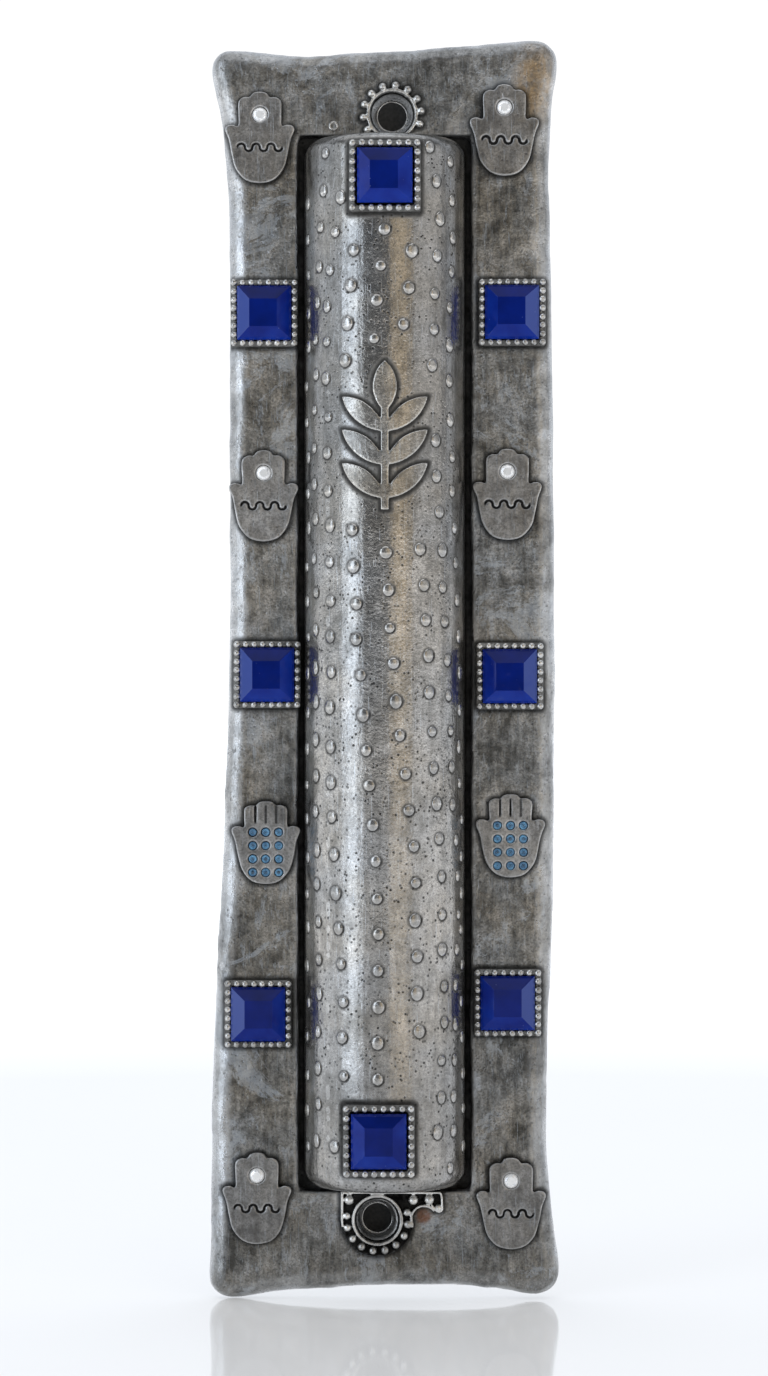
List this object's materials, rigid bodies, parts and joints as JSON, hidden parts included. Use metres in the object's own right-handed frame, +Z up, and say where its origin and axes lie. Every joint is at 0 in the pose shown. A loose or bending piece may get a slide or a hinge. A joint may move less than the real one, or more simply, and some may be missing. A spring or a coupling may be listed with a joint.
{
  "type": "mezuzah case",
  "caption": "Ornate cast pewter doorpost case with a half-round scroll cover, blue stones, hand charms and a sliding back door.",
  "frame": {"origin": "on the wall face of the plate, midway between the two screw holes", "axes": "+Z up along the doorpost, +Y into the wall so that the front faces -Y, +X to the viewer's right"},
  "size_m": [0.0473, 0.0177, 0.1702],
  "materials": {
    "plate_pewter": "satin",
    "cover_pewter": "satin",
    "ornament_pewter": "satin",
    "trim_pewter": "satin",
    "setting_pewter": "satin",
    "charm_pewter": "satin",
    "rail_steel": "satin",
    "door_steel": "satin",
    "rivet_brass": "satin",
    "blue_stone": "polished",
    "clear_crystal": "polished",
    "blue_enamel": "gloss"
  },
  "bodies": {
    "case": {"back_plate": "plate_pewter", "cover_shell": "cover_pewter", "cover_ornament": "ornament_pewter", "guide_rail_left": "rail_steel", "guide_rail_right": "rail_steel", "rail_rivets": "rivet_brass", "screw_collar_top": "trim_pewter", "screw_collar_bottom": "trim_pewter", "setting_left_upper": "setting_pewter", "setting_left_middle": "setting_pewter", "setting_left_lower": "setting_pewter", "setting_right_upper": "setting_pewter", "setting_right_middle": "setting_pewter", "setting_right_lower": "setting_pewter", "setting_cover_top": "setting_pewter", "setting_cover_bottom": "setting_pewter", "stone_left_upper": "blue_stone", "stone_left_middle": "blue_stone", "stone_left_lower": "blue_stone", "stone_right_upper": "blue_stone", "stone_right_middle": "blue_stone", "stone_right_lower": "blue_stone", "stone_cover_top": "blue_stone", "stone_cover_bottom": "blue_stone", "charm_left_1": "charm_pewter", "charm_left_2": "charm_pewter", "charm_left_3": "charm_pewter", "charm_left_4": "charm_pewter", "charm_right_1": "charm_pewter", "charm_right_2": "charm_pewter", "charm_right_3": "charm_pewter", "charm_right_4": "charm_pewter", "crystal_left_1": "clear_crystal", "crystal_left_2": "clear_crystal", "crystal_left_4": "clear_crystal", "crystal_right_1": "clear_crystal", "crystal_right_2": "clear_crystal", "crystal_right_4": "clear_crystal", "enamel_left_3": "blue_enamel", "enamel_right_3": "blue_enamel"},
    "door": {"back_door": "door_steel"}
  },
  "joints": [
    {"name": "door_slide", "type": "slide", "parent": "case", "child": "door", "axis": [0, 0, 1], "range_m": [0, 0.156]}
  ]
}
